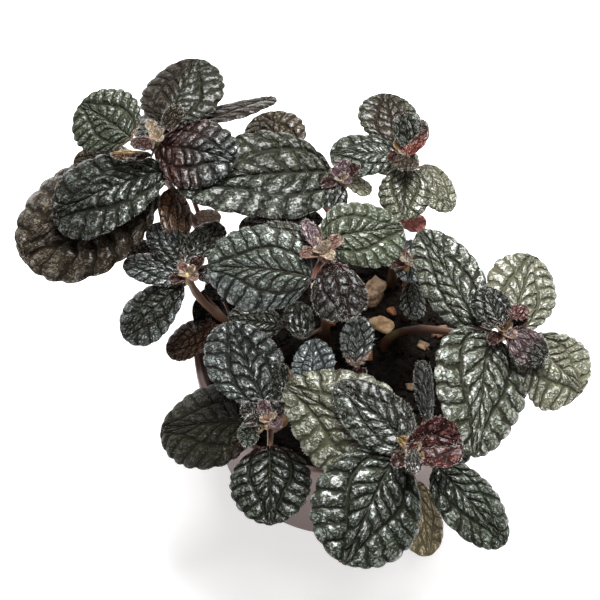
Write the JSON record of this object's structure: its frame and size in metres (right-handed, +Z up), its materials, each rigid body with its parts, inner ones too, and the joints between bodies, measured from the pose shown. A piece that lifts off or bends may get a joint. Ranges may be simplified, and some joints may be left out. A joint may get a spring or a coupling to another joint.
{
  "type": "potted pilea",
  "caption": "Small quilted-leaf pilea with silvery dark leaves in rosettes on arching stems, in a low round nursery pot filled with soil.",
  "frame": {"origin": "centre of the pot's underside", "axes": "+Z up along the pot's axis, -Y towards the side that the picture is taken from, +X to its right"},
  "size_m": [0.2393, 0.2537, 0.1757],
  "materials": {
    "pot_plastic": "matt mauve-brown nursery plastic",
    "soil": "dark moist potting mix with bark chips",
    "leaf_green": "quilted dark green leaf with silvery pads",
    "leaf_olive": "quilted olive leaf with silvery pads",
    "leaf_bronze": "quilted bronze-brown leaf with silvery pads",
    "leaf_dark": "quilted blue-black leaf with silvery pads"
  },
  "bodies": {
    "root": {"pot": "pot_plastic", "soil": "soil", "shoot_back_left": "leaf_bronze", "shoot_back": "leaf_olive", "shoot_back_right": "leaf_olive", "shoot_centre": "leaf_green", "shoot_left": "leaf_dark", "shoot_front_left": "leaf_dark", "shoot_front": "leaf_green", "shoot_right": "leaf_green", "shoot_low_front": "leaf_dark", "shoot_low_centre": "leaf_dark"}
  },
  "joints": []
}
